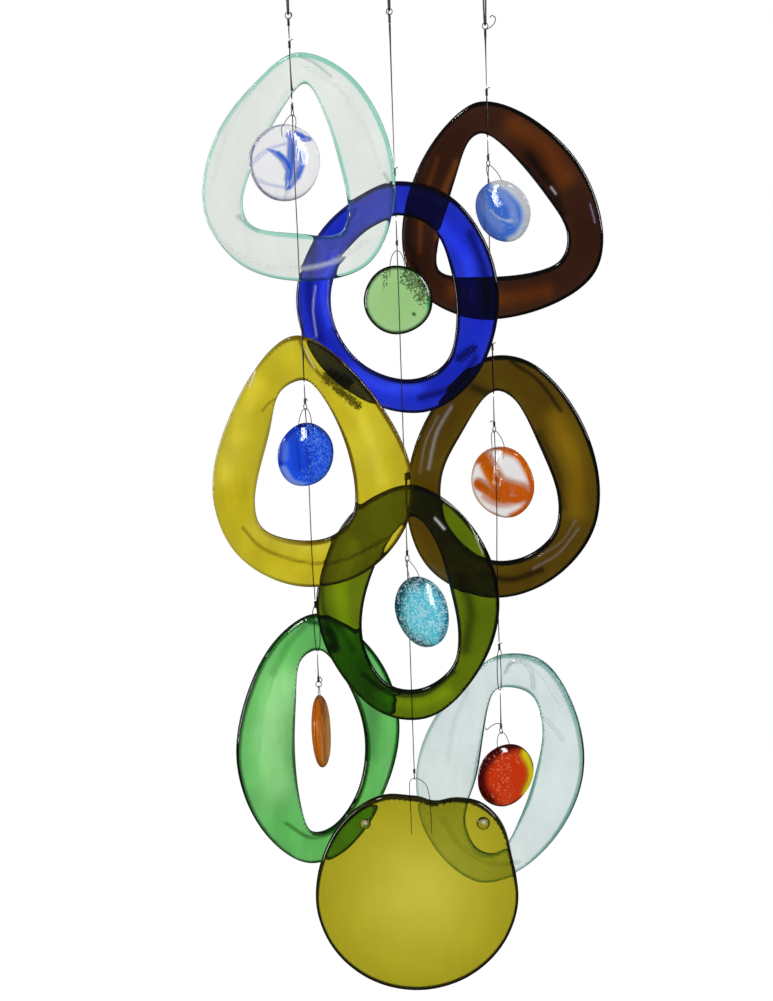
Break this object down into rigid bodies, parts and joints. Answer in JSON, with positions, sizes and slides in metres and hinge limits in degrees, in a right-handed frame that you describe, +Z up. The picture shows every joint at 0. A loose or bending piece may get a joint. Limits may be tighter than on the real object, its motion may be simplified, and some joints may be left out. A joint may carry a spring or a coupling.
{
  "type": "wind chime",
  "caption": "Hanging wind chime of slumped glass rings, each with a fused glass nugget in its hole, and a round glass disc, on wire strands from a steel rod.",
  "frame": {"origin": "inside crown of the hanging arch, where the hook that holds the chime bears", "axes": "+Z up, the faces of the glass look along -Y, +X to the right seen from the front"},
  "size_m": [0.1766, 0.0552, 0.4996],
  "materials": {
    "clear_glass": "fire-polished clear bottle glass",
    "yellow_glass": "fire-polished yellow bottle glass",
    "green_glass": "fire-polished pale green bottle glass",
    "cobalt_glass": "fire-polished cobalt bottle glass",
    "moss_glass": "fire-polished moss green bottle glass",
    "brown_glass": "fire-polished brown bottle glass",
    "olive_glass": "fire-polished olive bottle glass",
    "aqua_glass": "fire-polished pale aqua bottle glass",
    "blue_swirl_glass": "fused clear nugget with a blue swirl",
    "sapphire_glass": "fused dichroic blue nugget",
    "amber_glass": "fused amber nugget with a milky layer",
    "green_nugget_glass": "fused pale green nugget",
    "teal_glass": "fused dichroic teal nugget",
    "milky_blue_glass": "fused milky blue nugget",
    "orange_swirl_glass": "fused clear nugget with an orange swirl",
    "red_glass": "fused dichroic red nugget",
    "disc_glass": "fire-polished yellow-green bottle base",
    "rod_steel": "dark annealed steel rod",
    "bail_wire": "heat-darkened bail wire",
    "strand_wire": "dark annealed binding wire"
  },
  "bodies": {
    "hanger": {"hanger_rod": "rod_steel"},
    "left_loop": {"left_top_loop": "strand_wire"},
    "left_strand": {"left_1_wire": "strand_wire", "left_2_wire": "strand_wire", "left_3_wire": "strand_wire", "left_4_wire": "strand_wire"},
    "clear_ring": {"clear_ring": "clear_glass", "left_1_sling": "strand_wire"},
    "blue_swirl_nugget": {"blue_swirl_nugget": "blue_swirl_glass", "blue_swirl_bail": "bail_wire"},
    "yellow_ring": {"yellow_ring": "yellow_glass", "left_2_sling": "strand_wire"},
    "sapphire_nugget": {"sapphire_nugget": "sapphire_glass", "sapphire_bail": "bail_wire"},
    "green_ring": {"green_ring": "green_glass", "left_3_sling": "strand_wire"},
    "amber_nugget": {"amber_nugget": "amber_glass", "amber_bail": "bail_wire"},
    "centre_loop": {"centre_top_loop": "strand_wire"},
    "centre_strand": {"centre_1_wire": "strand_wire", "centre_2_wire": "strand_wire", "centre_3_wire": "strand_wire"},
    "cobalt_ring": {"cobalt_ring": "cobalt_glass", "centre_1_sling": "strand_wire"},
    "green_nugget": {"green_nugget": "green_nugget_glass", "green_bail": "bail_wire"},
    "moss_ring": {"moss_ring": "moss_glass", "centre_2_sling": "strand_wire"},
    "teal_nugget": {"teal_nugget": "teal_glass", "teal_bail": "bail_wire"},
    "base_disc": {"base_disc": "disc_glass", "disc_bail": "bail_wire"},
    "right_loop": {"right_top_loop": "strand_wire"},
    "right_strand": {"right_1_wire": "strand_wire", "right_2_wire": "strand_wire", "right_3_wire": "strand_wire", "right_4_wire": "strand_wire"},
    "brown_ring": {"brown_ring": "brown_glass", "right_1_sling": "strand_wire"},
    "milky_blue_nugget": {"milky_blue_nugget": "milky_blue_glass", "milky_blue_bail": "bail_wire"},
    "olive_ring": {"olive_ring": "olive_glass", "right_2_sling": "strand_wire"},
    "orange_swirl_nugget": {"orange_swirl_nugget": "orange_swirl_glass", "orange_swirl_bail": "bail_wire"},
    "aqua_ring": {"aqua_ring": "aqua_glass", "right_3_sling": "strand_wire"},
    "red_nugget": {"red_nugget": "red_glass", "red_bail": "bail_wire"}
  },
  "joints": [
    {"name": "left_sway", "type": "hinge", "parent": "hanger", "child": "left_loop", "pos_m": [-0.0425, -0.009, -0.02], "axis": [0.9778, 0.2095, 0], "range_deg": [0, 0.5]},
    {"name": "left_swing", "type": "hinge", "parent": "left_loop", "child": "left_strand", "pos_m": [-0.0425, -0.009, -0.04995], "axis": [-0.2095, 0.9778, 0], "range_deg": [-0.25, 12]},
    {"name": "clear_ring_turn", "type": "hinge", "parent": "left_strand", "child": "clear_ring", "pos_m": [-0.0425, -0.009, 0], "axis": [0, 0, 1], "range_deg": [-21, 3]},
    {"name": "blue_swirl_turn", "type": "hinge", "parent": "left_strand", "child": "blue_swirl_nugget", "pos_m": [-0.0425, -0.009, 0], "axis": [0, 0, 1], "range_deg": [-3, 15]},
    {"name": "yellow_ring_turn", "type": "hinge", "parent": "left_strand", "child": "yellow_ring", "pos_m": [-0.0425, -0.009, 0], "axis": [0, 0, 1], "range_deg": [-51, 3]},
    {"name": "sapphire_turn", "type": "hinge", "parent": "left_strand", "child": "sapphire_nugget", "pos_m": [-0.0425, -0.009, 0], "axis": [0, 0, 1], "range_deg": [-59, 21]},
    {"name": "green_ring_turn", "type": "hinge", "parent": "left_strand", "child": "green_ring", "pos_m": [-0.0425, 0.006, 0], "axis": [0, 0, 1], "range_deg": [-37, 23]},
    {"name": "amber_turn", "type": "hinge", "parent": "left_strand", "child": "amber_nugget", "pos_m": [-0.0425, 0.006, 0], "axis": [0, 0, 1], "range_deg": [-35, 59]},
    {"name": "centre_sway", "type": "hinge", "parent": "hanger", "child": "centre_loop", "pos_m": [0, 0, -0.02], "axis": [0.9778, 0.2095, 0], "range_deg": [-0.5, 0]},
    {"name": "centre_swing", "type": "hinge", "parent": "centre_loop", "child": "centre_strand", "pos_m": [0, 0, -0.04945], "axis": [-0.2095, 0.9778, 0], "range_deg": [-0.75, 0.25]},
    {"name": "cobalt_ring_turn", "type": "hinge", "parent": "centre_strand", "child": "cobalt_ring", "pos_m": [0, 0, 0], "axis": [0, 0, 1], "range_deg": [-25, 5]},
    {"name": "green_turn", "type": "hinge", "parent": "centre_strand", "child": "green_nugget", "pos_m": [0, 0, 0], "axis": [0, 0, 1], "range_deg": [-33, 23]},
    {"name": "moss_ring_turn", "type": "hinge", "parent": "centre_strand", "child": "moss_ring", "pos_m": [0, 0, 0], "axis": [0, 0, 1], "range_deg": [-1, 5]},
    {"name": "teal_turn", "type": "hinge", "parent": "centre_strand", "child": "teal_nugget", "pos_m": [0, 0, 0], "axis": [0, 0, 1], "range_deg": [-11, 31]},
    {"name": "disc_turn", "type": "hinge", "parent": "centre_strand", "child": "base_disc", "pos_m": [0, -0.003, 0], "axis": [0, 0, 1], "range_deg": [-3, 5]},
    {"name": "right_sway", "type": "hinge", "parent": "hanger", "child": "right_loop", "pos_m": [0.041, 0.009, -0.02], "axis": [0.9778, 0.2095, 0], "range_deg": [-0.5, 12]},
    {"name": "right_swing", "type": "hinge", "parent": "right_loop", "child": "right_strand", "pos_m": [0.041, 0.009, -0.05645], "axis": [-0.2095, 0.9778, 0], "range_deg": [-12, 0.75]},
    {"name": "brown_ring_turn", "type": "hinge", "parent": "right_strand", "child": "brown_ring", "pos_m": [0.041, 0.009, 0], "axis": [0, 0, 1], "range_deg": [-21, 5]},
    {"name": "milky_blue_turn", "type": "hinge", "parent": "right_strand", "child": "milky_blue_nugget", "pos_m": [0.041, 0.009, 0], "axis": [0, 0, 1], "range_deg": [-25, 53]},
    {"name": "olive_ring_turn", "type": "hinge", "parent": "right_strand", "child": "olive_ring", "pos_m": [0.041, 0.009, 0], "axis": [0, 0, 1], "range_deg": [-29, 5]},
    {"name": "orange_swirl_turn", "type": "hinge", "parent": "right_strand", "child": "orange_swirl_nugget", "pos_m": [0.041, 0.009, 0], "axis": [0, 0, 1], "range_deg": [-11, 57]},
    {"name": "aqua_ring_turn", "type": "hinge", "parent": "right_strand", "child": "aqua_ring", "pos_m": [0.041, 0.009, 0], "axis": [0, 0, 1], "range_deg": [-25, 35]},
    {"name": "red_turn", "type": "hinge", "parent": "right_strand", "child": "red_nugget", "pos_m": [0.041, 0.009, 0], "axis": [0, 0, 1], "range_deg": [-39, 59]}
  ]
}
